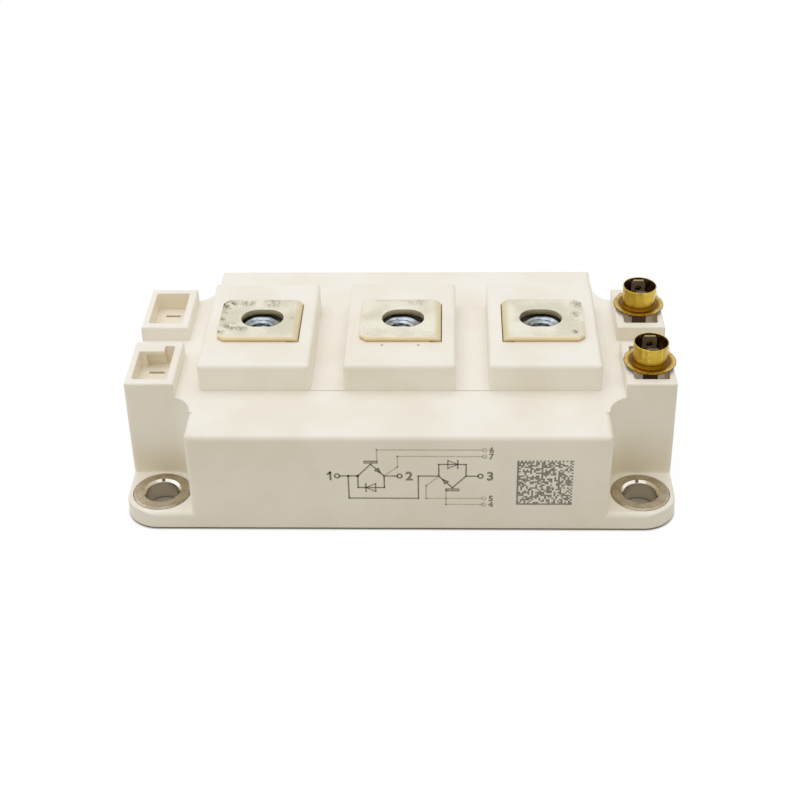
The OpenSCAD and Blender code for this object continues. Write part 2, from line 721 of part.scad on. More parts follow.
// Poured gel: it lies over the chips and wires and stands clear of every metal piece.
module silicone_gel() {
    z_over = z_chip + gel_clear;
    free_l = tile_l + 2 * gel_skin;
    free_w = tile_w + 2 * gel_skin;
    feet_w = 2 * foot_y + foot_w + 2 * leg_gap;
    color("#D9E3E6") difference() {
        translate([0, 0, base_t]) linear_extrude(z_gel - base_t) hollow_outline(-gel_skin);
        for (s = [-1, 1]) box_at(s * (tile_x0 + tile_x1) / 2, 0, free_l, free_w, 0, z_over);
        box_at(0, 0, tile_gap + 2 * cut, free_w, z_chip, z_over);
        for (k = [-1, 1])
            box_at(k * (pad_pitch - term_l / 2 + term_t / 2), 0, term_t + 2 * leg_gap, feet_w,
                   z_over - cut, z_gel + cut);
        box_at((term_l / 2 + drop_x - term_t) / 2, 0, term_l / 2 - drop_x + term_t + 2 * leg_gap, feet_w,
               z_over - cut, z_gel + cut);
        for (n = TABS)
            box_at(tab_foot_x(n), tab_y(n), lead_leg_w + 2 * leg_gap, tab_t + 2 * leg_gap,
                   z_over - cut, z_gel + cut);
    }
}

// ---------------------------------------------------------------- assembly

housing();
baseplate();
sealant_bead();
mount_bushing(-1, -1);  // mount_bushing_front_left
mount_bushing(1, -1);  // mount_bushing_front_right
mount_bushing(-1, 1);  // mount_bushing_rear_left
mount_bushing(1, 1);  // mount_bushing_rear_right
outer_terminal(-1);  // main_terminal_1
middle_terminal();  // main_terminal_2
outer_terminal(1);  // main_terminal_3
terminal_nut(-1);  // terminal_nut_1
terminal_nut(0);  // terminal_nut_2
terminal_nut(1);  // terminal_nut_3
control_tab(4);  // control_tab_4
control_tab(5);  // control_tab_5
control_tab(6);  // control_tab_6
control_tab(7);  // control_tab_7
shorting_eyelet(-1);  // shorting_eyelet_front
shorting_eyelet(1);  // shorting_eyelet_rear
ceramic_tile(-1);  // ceramic_tile_left
ceramic_tile(1);  // ceramic_tile_right
copper_tracks(-1);  // copper_tracks_left
copper_tracks(1);  // copper_tracks_right
copper_backing(-1);  // copper_backing_left
copper_backing(1);  // copper_backing_right
bridge_strap(-1);  // bridge_strap_front
bridge_strap(1);  // bridge_strap_rear
igbt_chip(-1, -1);  // igbt_left_1
igbt_chip(-1, 0);  // igbt_left_2
igbt_chip(-1, 1);  // igbt_left_3
igbt_chip(1, -1);  // igbt_right_1
igbt_chip(1, 0);  // igbt_right_2
igbt_chip(1, 1);  // igbt_right_3
diode_chip(-1, -1);  // diode_left_1
diode_chip(-1, 0);  // diode_left_2
diode_chip(-1, 1);  // diode_left_3
diode_chip(1, -1);  // diode_right_1
diode_chip(1, 0);  // diode_right_2
diode_chip(1, 1);  // diode_right_3
bond_wires(-1);  // bond_wires_left
bond_wires(1);  // bond_wires_right
silicone_gel();
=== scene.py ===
"""Dresses a half-bridge power module: moulded polyester case, tinned terminals, brass eyelets and print.

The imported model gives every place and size. Sizes that belong to a finish or to the print are fields
in millimetres and go through MM, because everything in Blender is in metres.
"""

import logging
import math
from dataclasses import dataclass
from enum import Enum
from functools import cached_property

import bmesh
import bpy
import numpy as np
from mathutils import Matrix, Vector

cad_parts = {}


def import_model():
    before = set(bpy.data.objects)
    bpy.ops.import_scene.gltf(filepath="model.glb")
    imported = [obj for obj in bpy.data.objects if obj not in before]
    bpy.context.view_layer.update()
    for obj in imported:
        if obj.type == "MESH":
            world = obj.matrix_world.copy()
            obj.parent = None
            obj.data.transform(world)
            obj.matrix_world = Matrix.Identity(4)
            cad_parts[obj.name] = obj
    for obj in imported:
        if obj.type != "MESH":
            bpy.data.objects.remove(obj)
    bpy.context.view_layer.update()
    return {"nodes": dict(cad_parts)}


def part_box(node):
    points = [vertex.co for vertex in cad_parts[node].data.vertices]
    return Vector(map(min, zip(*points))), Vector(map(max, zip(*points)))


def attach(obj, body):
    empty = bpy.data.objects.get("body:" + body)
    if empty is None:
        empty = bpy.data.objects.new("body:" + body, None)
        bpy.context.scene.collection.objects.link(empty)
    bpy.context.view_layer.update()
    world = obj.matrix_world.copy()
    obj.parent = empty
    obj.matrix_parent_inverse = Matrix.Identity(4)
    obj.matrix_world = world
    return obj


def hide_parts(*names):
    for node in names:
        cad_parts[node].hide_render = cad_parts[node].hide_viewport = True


MM = 0.001
BODY = "root"
LOG = logging.getLogger("power_module")
SEEN_RAYS = ("Is Camera Ray", "Is Glossy Ray", "Is Transmission Ray")

Socket = bpy.types.NodeSocket
Pair = tuple[float, float]
Triple = tuple[float, float, float]


# ---- colours and nodes


def linear(colour: str) -> tuple[float, float, float, float]:
    """Turns an sRGB hex colour into linear RGBA.

    Args:
        colour: Six hex digits with a leading #.

    Returns:
        Red, green and blue by the sRGB curve, and an alpha of 1.
    """
    parts = (int(colour[i : i + 2], 16) / 255 for i in (1, 3, 5))
    red, green, blue = (c / 12.92 if c <= 0.04045 else ((c + 0.055) / 1.055) ** 2.4 for c in parts)
    return red, green, blue, 1.0


class Mix(Enum):
    """Socket numbers of a Mix node that works on colours."""

    FACTOR = 0
    A = 6
    B = 7
    RESULT = 2


class Look:
    """Fills a node tree. Its patterns read Object coordinates, in metres."""

    def __init__(self, tree: bpy.types.NodeTree) -> None:
        """Takes the tree to fill."""
        self.tree = tree

    @cached_property
    def coords(self) -> Socket:
        """The Object coordinates."""
        return self.add("TexCoord").outputs["Object"]

    @cached_property
    def place(self) -> bpy.types.NodeOutputs:
        """The Object coordinates' X, Y and Z."""
        return self.add("SeparateXYZ", inputs={0: self.coords}).outputs

    def feed(self, node: bpy.types.Node, inputs: dict[str | int, object]) -> None:
        """Links a node's inputs to sockets, or sets them to hex colours or other values.

        Args:
            node: The node.
            inputs: What goes to each input, by its name or number.
        """
        for name, value in inputs.items():
            if isinstance(value, Socket):
                self.tree.links.new(value, node.inputs[name])
            else:
                node.inputs[name].default_value = linear(value) if isinstance(value, str) else value

    def add(
        self,
        kind: str,
        settings: dict[str, object] | None = None,
        inputs: dict[str | int, object] | None = None,
    ) -> bpy.types.Node:
        """Adds a node with its settings and links.

        Args:
            kind: The node's type without its ShaderNode prefix.
            settings: Properties of the node.
            inputs: What goes to each input, by its name or number.

        Returns:
            The new node.
        """
        node = self.tree.nodes.new("ShaderNode" + kind)
        for name, value in (settings or {}).items():
            setattr(node, name, value)
        self.feed(node, inputs or {})
        return node

    def surface(self, inputs: dict[str | int, object]) -> None:
        """Feeds the material's Principled shader."""
        self.feed(self.tree.nodes["Principled BSDF"], inputs)

    def blend(self, factor: Socket, low: Socket | str, high: Socket | str) -> Socket:
        """Mixes two colours: a factor of 0 gives low and 1 gives high."""
        inputs = {Mix.FACTOR.value: factor, Mix.A.value: low, Mix.B.value: high}
        return self.add("Mix", {"data_type": "RGBA"}, inputs).outputs[Mix.RESULT.value]

    def layers(self, colour: Socket | str, *coats: tuple[Socket, Socket | str]) -> Socket:
        """Lays coats of a mask and a colour on a colour, each on top of those before it."""
        for mask, coat in coats:
            colour = self.blend(mask, colour, coat)
        return colour

    def fade(self, value: Socket, start: float, end: float, top: float = 1.0) -> Socket:
        """Maps a value smoothly from 0 at start to top at end."""
        inputs = {"Value": value, "From Min": start, "From Max": end, "To Max": top}
        return self.add("MapRange", {"interpolation_type": "SMOOTHSTEP"}, inputs).outputs["Result"]

    def between(self, value: Socket, low: float, high: float) -> Socket:
        """Maps 0 to low and 1 to high, in a straight line."""
        inputs = {"Value": value, "To Min": low, "To Max": high}
        return self.add("MapRange", inputs=inputs).outputs["Result"]

    def grain(self, size: float, detail: float = 2.0, stretch: Triple | None = None) -> Socket:
        """Noise whose features are about size millimetres across.

        Args:
            size: The size of a feature in millimetres.
            detail: How many finer octaves lie on it.
            stretch: A factor for each axis: a small one draws the noise out along it.

        Returns:
            The noise, about 0.5 on average.
        """
        where = self.coords
        if stretch is not None:
            where = self.add("Mapping", inputs={"Vector": where, "Scale": stretch}).outputs["Vector"]
        inputs = {"Vector": where, "Scale": 1 / (size * MM), "Detail": detail}
        return self.add("TexNoise", inputs=inputs).outputs[0]

    def patches(self, size: float, detail: float, start: float, end: float, top: float = 1.0) -> Socket:
        """A mask of patches that start and are full at two values of grain's noise."""
        return self.fade(self.grain(size, detail), start, end, top)

    def spot(self, centre: Vector, inner: float, outer: float) -> Socket:
        """A round mask: 1 within inner millimetres of a point in metres, falling to 0 at outer."""
        far = self.add("VectorMath", {"operation": "DISTANCE"}, {0: self.coords, 1: centre})
        return self.fade(far.outputs["Value"], outer * MM, inner * MM)

    def from_axis(self, at: Vector) -> Socket:
        """The distance from the upright line through a point, in metres."""
        flat = self.add("CombineXYZ", inputs={axis: self.place[axis] for axis in "XY"}).outputs[0]
        return self.add("VectorMath", {"operation": "DISTANCE"}, {0: flat, 1: at.xy.to_3d()}).outputs["Value"]

    def combine(self, operation: str, first: Socket, *others: Socket | float) -> Socket:
        """Combines values from left to right, or works on a single one.

        Args:
            operation: The Math node's operation.
            first: The first value.
            others: The other values, if the operation takes two.

        Returns:
            The result's socket.
        """
        if not others:
            return self.add("Math", {"operation": operation}, {0: first}).outputs[0]
        for other in others:
            first = self.add("Math", {"operation": operation}, {0: first, 1: other}).outputs[0]
        return first

    def bump(
        self, height: Socket, depth: float, strength: float, edge_r: float = 0.0, samples: int = 4
    ) -> Socket:
        """The normal of a surface with bumps on it, and with rounded edges if edge_r is more than 0.

        Args:
            height: The bumps' height from 0 to 1.
            depth: Their height in millimetres where that is 1.
            strength: How strongly they show.
            edge_r: The radius of the edges in millimetres.
            samples: How many rays look for an edge.

        Returns:
            The normal's socket.
        """
        inputs = {"Height": height, "Strength": strength, "Distance": depth * MM}
        if edge_r > 0:
            bevel = self.add("Bevel", {"samples": samples}, {"Radius": edge_r * MM})
            inputs["Normal"] = bevel.outputs["Normal"]
        return self.add("Bump", inputs=inputs).outputs["Normal"]


# ---- finishes


@dataclass(frozen=True)
class Finish:
    """What every finish starts from: a named material with one Principled shader."""

    name: str

    def paint(self, look: Look) -> None:
        """Fills the material's tree, in each finish's own way."""
        raise NotImplementedError

    def build(self) -> bpy.types.Material:
        """Makes the material.

        Returns:
            The material, painted.
        """
        material = bpy.data.materials.new(self.name)
        material.use_nodes = True
        self.paint(Look(material.node_tree))
        return material


@dataclass(frozen=True)
class TwoToned(Finish):
    """A surface of two near tones in soft patches, under a fine texture.

    The second tone starts where the patches' noise is patch_start and is full at patch_end. The
    fields patch and texture are the sizes of their features.
    """

    tones: tuple[str, str]
    patch: float = 6.0
    octaves: float = 4.0
    patch_start: float = 0.35
    patch_end: float = 0.7
    texture: float = 0.2
    texture_octaves: float = 2.0
    stretch: Triple | None = None
    depth: float = 0.01
    strength: float = 0.3
    roughness: float = 0.5
    metallic: float = 0.0

    def paint(self, look: Look) -> None:
        """Mixes the tones and adds the texture.

        Args:
            look: The material's tree.
        """
        patches = look.patches(self.patch, self.octaves, self.patch_start, self.patch_end)
        texture = look.grain(self.texture, self.texture_octaves, self.stretch)
        normal = look.bump(texture, self.depth, self.strength)
        look.surface({"Base Color": look.blend(patches, *self.tones), "Normal": normal})
        look.surface({"Roughness": self.roughness, "Metallic": self.metallic})


@dataclass(frozen=True)
class MouldedPolyester(Finish):
    """Glass-filled polyester from a spark-eroded mould: ivory, satin, faintly mottled by its flow.

    The fibres reach the skin, so the gloss is uneven, and sharp moulded edges are a little round.
    Deep in its sockets the walls carry a painted warm shade, the stronger the deeper down and more on the
    right, and the walls beside a bushing are a little browner towards the flange. Small pips mark
    where the mould was fed; the shade in their shallow dents is painted as brown dots.

    Attributes:
        pips: The places of the small pips, whose dents' shade is painted brown, in metres.
        socket: The middle of the right rear socket, in metres. The others mirror it.
        reach: Half the size of a socket's pocket in plan, in metres.
        rim: The height of the sockets' rims in metres.
        left_share: How strong the painted shade in the sockets is on the left, if it is 1 on the right.
        end_wall: How far from the middle the walls beside the bushings start.
    """

    pips: list[Vector]
    socket: Vector
    reach: Vector
    rim: float
    ivory: str = "#F9F5EB"
    flow: str = "#F3EDDF"
    socket_shade: str = "#F5E6C6"
    foot: str = "#E6D9BC"
    pip: str = "#B5A283"
    flow_size: float = 14.0
    erosion_grain: float = 0.35
    edge_r: float = 0.22
    shade_from: float = 1.2
    shade_full: float = 5.0
    left_share: float = 0.35
    foot_height: float = 14.0
    flange_top: float = 3.9
    end_wall: float = 39.8
    pip_r: Pair = (0.1, 0.45)

    def in_sockets(self, look: Look) -> Socket:
        """A mask of painted shade on the sockets' lower walls, where X and Y folded into one quarter are
        within reach.

        Args:
            look: The material's tree.

        Returns:
            The mask's socket.
        """
        masks = []
        for axis, middle, half in (("X", self.socket.x, self.reach.x), ("Y", self.socket.y, self.reach.y)):
            folded = look.combine("ABSOLUTE", look.place[axis])
            away = look.combine("ABSOLUTE", look.combine("SUBTRACT", folded, middle))
            masks.append(look.fade(away, half + 0.1 * MM, half + 0.05 * MM))
        deep = look.fade(look.place["Z"], self.rim - self.shade_from * MM, self.rim - self.shade_full * MM)
        side = look.combine("MAXIMUM", look.fade(look.place["X"], 0, 1 * MM), self.left_share)
        return look.combine("MULTIPLY", *masks, deep, side)

    def paint(self, look: Look) -> None:
        """Colours the plastic, with painted shade in its sockets and at its pips, and gives it its grain.

        Args:
            look: The material's tree.
        """
        height = look.place["Z"]
        top, wall = self.flange_top * MM, self.end_wall * MM
        tint = look.combine(
            "MULTIPLY",
            look.fade(height, self.foot_height * MM, top, 0.6),
            look.fade(height, top - 0.1 * MM, top + 0.6 * MM),
            look.fade(look.combine("ABSOLUTE", look.place["X"]), wall - 0.1 * MM, wall),
        )
        plastic = look.layers(
            self.ivory,
            (look.patches(self.flow_size, 4, 0.35, 0.7), self.flow),
            # painted warm shade deep in the sockets
            (self.in_sockets(look), self.socket_shade),
            (tint, self.foot),
            # painted shade of the pips' small dents
            *((look.spot(pip, *self.pip_r), self.pip) for pip in self.pips),
        )
        sheen = look.between(look.grain(3), 0.36, 0.5)
        normal = look.bump(look.grain(self.erosion_grain), 0.03, 0.25, self.edge_r, 6)
        look.surface({"Base Color": plastic, "Roughness": sheen, "Normal": normal, "IOR": 1.55})


@dataclass(frozen=True)
class LaserMark(TwoToned):
    """Marking burnt into the polyester by a laser: warm grey, dull, uneven along its strokes."""

    tones: tuple[str, str] = ("#857F73", "#A09A8C")
    patch: float = 0.6
    patch_start: float = 0.4
    roughness: float = 0.7


@dataclass(frozen=True)
class ZincPlatedSteel(TwoToned):
    """Cold-formed steel nut, bright zinc with a blue passivation: cool, shiny, slightly peened."""

    tones: tuple[str, str] = ("#A9B0B2", "#7F8688")
    patch: float = 1.5
    texture: float = 0.4
    depth: float = 0.02
    strength: float = 0.25
    roughness: float = 0.27
    metallic: float = 1.0


@dataclass(frozen=True)
class PlainMetal(TwoToned):
    """Rolled or etched metal sheet or drawn wire: even colour, fine rolling lines along X."""

    tones: tuple[str, str] = ("#BDB8AD", "#A29D91")
    texture: float = 0.4
    texture_octaves: float = 3.0
    stretch: Triple = (0.04, 1.0, 1.0)
    roughness: float = 0.38
    metallic: float = 1.0


@dataclass(frozen=True)
class SinteredAlumina(TwoToned):
    """Sintered alumina tile: white, matt, with the fine grain of the fired powder."""

    tones: tuple[str, str] = ("#F2F0EA", "#E6E2D8")
    patch: float = 5.0
    roughness: float = 0.62


@dataclass(frozen=True)
class PouredSilicone(TwoToned):
    """Silicone poured as a gel or laid as a sealing bead: milky, soft-edged, slightly glossy."""

    tones: tuple[str, str] = ("#DCE4E6", "#CFD6D8")
    patch: float = 8.0
    octaves: float = 3.0
    texture: float = 3.0
    depth: float = 0.05
    strength: float = 0.2
    roughness: float = 0.2
    see_through: float = 0.5

    def paint(self, look: Look) -> None:
        """Adds the light that goes through."""
        super().paint(look)
        look.surface({"IOR": 1.41, "Transmission Weight": self.see_through})


@dataclass(frozen=True)
class SiliconDie(Finish):
    """Sawn silicon die with an aluminium top layer in stripes: dark blue-grey, smooth."""

    silicon: str = "#4F5866"
    metal: str = "#9AA3AF"
    cell_pitch: float = 1.6
    wave_period: float = 0.314  # of a wave texture whose scale is 1

    def paint(self, look: Look) -> None:
        """Lays the stripes along X.

        Args:
            look: The material's tree.
        """
        inputs = {"Vector": look.coords, "Scale": self.wave_period / (self.cell_pitch * MM)}
        stripes = look.add("TexWave", {"bands_direction": "Y"}, inputs).outputs["Fac"]
        colour = look.blend(look.fade(stripes, 0.1, 0.25), self.silicon, self.metal)
        look.surface({"Base Color": colour, "Metallic": 1.0, "Roughness": 0.25})


@dataclass(frozen=True)
class Stain:
    """A dull patch on a terminal's upper face.

    Attributes:
        at: Its place from the middle of the screw hole, in millimetres along X and Y.
        size: How far it reaches in millimetres.
        strength: How dark it is at most. Where that is over 1, its middle is evenly full.
    """

    at: Pair
    size: float
    strength: float


@dataclass(frozen=True)
class TinnedCopper(Finish):
    """Copper strip with a tin flash, sheared and bent: pale grey-gold with rolling lines and stains.

    The sheared edges are a little yellower than the faces, and browner along their lower part by painted
    shadow.

    Attributes:
        middle: The middle of the plate's upper face in metres.
        bend: Where the flat plate ends and the bend starts, along X from the middle, in metres.
        stains: The plate's stains.
        edge_shadow_span: From where to where an edge goes over into its painted shadow, as shares of its
            thickness.
    """

    middle: Vector
    bend: float
    stains: tuple[Stain, ...]
    tin: str = "#D3CDB8"
    bright: str = "#DEDAC8"
    stain: str = "#6F6248"
    sheared: str = "#F2E6C6"
    edge_shadow: str = "#D6BD90"
    bent: str = "#DCCDA4"
    thickness: float = 1.1
    rolling_pitch: float = 0.35
    hatch_pitch: float = 0.3
    edge_shadow_span: Pair = (0.35, 0.8)
    edge_r: float = 0.15

    def worn(self, look: Look, metal: Socket) -> Socket:
        """Lays the stains on the metal's colour: each is hatched across the strip.

        Args:
            look: The material's tree.
            metal: The clean metal's colour.

        Returns:
            The stained metal's colour.
        """
        hatch = look.fade(look.grain(self.hatch_pitch, 4, (1.0, 0.25, 1.0)), 0.42, 0.6)
        blot = look.patches(1.6, 4, 0.38, 0.56)
        broken = look.combine("MULTIPLY", look.combine("MAXIMUM", hatch, 0.45), blot)
        for stain in self.stains:
            centre = self.middle + Vector((*stain.at, 0)) * MM
            near = look.spot(centre, 0.25 * stain.size, stain.size)
            metal = look.blend(look.combine("MULTIPLY", near, broken, stain.strength), metal, self.stain)
        return metal

    def paint(self, look: Look) -> None:
        """Colours faces, bend and edges, which it tells apart by where they face.

        Args:
            look: The material's tree.
        """
        normal = look.add("NewGeometry").outputs["True Normal"]
        facing = look.add("SeparateXYZ", inputs={0: normal}).outputs
        x, y, z = (look.combine("ABSOLUTE", facing[axis]) for axis in "XYZ")
        from_middle = look.combine("SUBTRACT", look.place["X"], self.middle.x)
        before_bend = look.fade(from_middle, self.bend, self.bend - math.copysign(0.05 * MM, self.bend))
        plate_edge = look.combine("MULTIPLY", look.fade(z, 0.55, 0.45), before_bend)
        edge = look.combine("MAXIMUM", look.fade(y, 0.45, 0.55), plate_edge)
        # the lower part of each edge gets a painted brown shadow
        edge_shadow = (self.middle.z - share * self.thickness * MM for share in self.edge_shadow_span)
        rim = look.blend(look.fade(look.place["Z"], *edge_shadow), self.sheared, self.edge_shadow)
        cloud = look.patches(5, 3, 0.35, 0.65)
        specks = look.patches(0.4, 4, 0.5, 0.75, 0.22)
        metal = self.worn(look, look.layers(self.tin, (cloud, self.bright), (specks, self.stain)))
        metal = look.layers(metal, (look.fade(x, 0.1, 0.6, 0.8), self.bent), (edge, rim))
        lines = look.grain(self.rolling_pitch, 3, (1.0, 0.03, 1.0))
        gloss, normal = look.between(cloud, 0.36, 0.5), look.bump(lines, 0.012, 0.25, self.edge_r)
        look.surface({"Base Color": metal, "Metallic": 1.0, "Roughness": gloss, "Normal": normal})


@dataclass(frozen=True)
class DrawnBrass(Finish):
    """Deep-drawn brass with a thin gold flash: yellow, glossy, with fine lines along the draw.

    Painted shade browns it in the root between barrel and flange, inside the barrel, and at and under
    the flange's edge, and its flange is mottled.

    Attributes:
        axis: A point on the barrel's axis, in metres.
        root: The height of the flange's upper face, in metres.
        bore_r: A radius between the barrel's inner and outer faces, in metres.
        edge_r: The radius of the flange's edge, in metres.
    """

    axis: Vector
    root: float
    bore_r: float
    edge_r: float
    gold: str = "#D6B94C"
    worn: str = "#C0A040"
    pale: str = "#D2B56A"
    speck: str = "#8A6C34"
    root_shade: str = "#6E4806"
    under: str = "#6A4E20"
    inner: str = "#8A6C40"
    line_pitch: float = 0.9
    root_h: float = 1.2

    def paint(self, look: Look) -> None:
        """Lays wear, mottling and painted shade on the gold.

        Args:
            look: The material's tree.
        """
        radius, height = look.from_axis(self.axis), look.place["Z"]
        root, edge_r = self.root, self.edge_r
        lines = look.grain(self.line_pitch, 3, (1.0, 1.0, 0.04))
        brim = look.combine(
            "MULTIPLY",
            look.fade(radius, edge_r - 1.0 * MM, edge_r - 0.5 * MM),
            look.fade(height, root + 0.1 * MM, root),
        )
        corner = look.combine(
            "MULTIPLY",
            look.fade(height, root + self.root_h * MM, root + 0.15 * MM),
            look.fade(radius, edge_r - 0.4 * MM, edge_r - 1.25 * MM),
        )
        metal = look.layers(
            self.gold,
            (look.fade(lines, 0.38, 0.66), self.worn),
            (look.patches(1.4, 4, 0.4, 0.7, 0.6), self.worn),
            (brim, look.blend(look.patches(0.7, 4, 0.5, 0.68, 0.8), self.pale, self.speck)),
            (look.patches(1.1, 4, 0.52, 0.7, 0.35), self.speck),
            # painted shade: in the root, at and under the flange's edge, and inside the barrel
            (corner, self.root_shade),
            (look.fade(radius, edge_r - 0.18 * MM, edge_r - 0.06 * MM, 0.85), self.under),
            (look.fade(height, root - 0.02 * MM, root - 0.07 * MM), self.under),
            (look.fade(radius, self.bore_r, self.bore_r - 0.02 * MM), self.inner),
        )
        gloss, normal = look.between(lines, 0.18, 0.34), look.bump(lines, 0.02, 0.35)
        look.surface({"Base Color": metal, "Metallic": 1.0, "Roughness": gloss, "Normal": normal})


@dataclass(frozen=True)
class TurnedSteel(Finish):
    """Nickel-plated turned sleeve: warm grey, with concentric tool marks and a paler bore, a painted
    reflection.

    The chamfer at its mouth carries a painted highlight, and a short dark nick crosses it at the rear.

    Attributes:
        axis: A point on the sleeve's axis, in metres.
        bore_r: The radius of its bore in metres.
        mouth_r: The radius of the chamfer's outer edge in metres.
    """

    axis: Vector
    bore_r: float
    mouth_r: float
    nickel: str = "#C6BAA2"
    worn: str = "#A99B81"
    bright: str = "#F3E9DC"
    bore: str = "#EEE6DA"
    nick: str = "#5A5240"
    tool_pitch: float = 0.3
    nick_half: float = 0.42
    nick_shift: float = 0.3

    def paint(self, look: Look) -> None:
        """Lays wear, the mouth's painted highlight, the nick and the bore's painted reflection on the nickel.

        Args:
            look: The material's tree.
        """
        radius = look.from_axis(self.axis)
        turns = look.combine("SINE", look.combine("MULTIPLY", radius, 2 * math.pi / (self.tool_pitch * MM)))
        mouth = look.fade(radius, self.mouth_r + 0.02 * MM, self.mouth_r - 0.02 * MM)
        aside = look.combine("SUBTRACT", look.place["X"], self.axis.x - self.nick_shift * MM)
        line = look.fade(look.combine("ABSOLUTE", aside), self.nick_half * MM, 0.5 * self.nick_half * MM)
        behind = look.fade(look.place["Y"], self.axis.y, self.axis.y + 0.1 * MM)
        metal = look.layers(
            self.nickel,
            (look.patches(2.2, 3, 0.35, 0.7, 0.7), self.worn),
            (look.patches(0.35, 3, 0.45, 0.65, 0.3), self.nick),
            # painted highlight on the chamfer
            (mouth, self.bright),
            (look.combine("MULTIPLY", behind, line, mouth), self.nick),
            # painted reflection: the bore paler than the nickel
            (look.fade(radius, self.bore_r + 0.06 * MM, self.bore_r + 0.02 * MM), self.bore),
        )
        gloss, normal = look.between(mouth, 0.38, 0.2), look.bump(turns, 0.006, 0.2)
        look.surface({"Base Color": metal, "Metallic": 1.0, "Roughness": gloss, "Normal": normal})


# ---- meshes


def add_object(name: str, data: bpy.types.ID) -> bpy.types.Object:
    """Puts a mesh, lamp, camera or curve into the scene.

    Args:
        name: The object's name.
        data: What it holds.

    Returns:
        The new object.
    """
    thing = bpy.data.objects.new(name, data)
    bpy.context.scene.collection.objects.link(thing)
    return thing


def make_piece(
    name: str, points: list[list[float]], faces: list[list[int]], material: bpy.types.Material
) -> bpy.types.Object:
    """Makes a mesh piece that rides on the module.

    Args:
        name: The piece's name.
        points: X, Y and Z in metres for each vertex.
        faces: Vertex numbers of each face, anticlockwise from outside.
        material: Its finish.

    Returns:
        The new object.
    """
    mesh = bpy.data.meshes.new(name)
    mesh.from_pydata(points, [], faces)
    mesh.materials.append(material)
    piece = add_object(name, mesh)
    LOG.info("made %s", name)
    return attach(piece, BODY)


def grid_faces(rows: int, columns: int) -> np.ndarray:
    """Quads that join a grid of points, whose last row and column join the first.

    Args:
        rows: How many rows the grid has.
        columns: How many points a row has.

    Returns:
        Four point numbers for each quad, the point in row i and column j being i * columns + j.
    """
    i, j = np.mgrid[0:rows, 0:columns]
    i_next, j_next = (i + 1) % rows, (j + 1) % columns
    corners = [i * columns + j, i * columns + j_next, i_next * columns + j_next, i_next * columns + j]
    return np.stack(corners, -1).reshape(-1, 4)


PRISM_FACES = np.array([[0, 3, 2, 1], [4, 5, 6, 7], [0, 1, 5, 4], [1, 2, 6, 5], [2, 3, 7, 6], [3, 0, 4, 7]])


# ---- print on the case


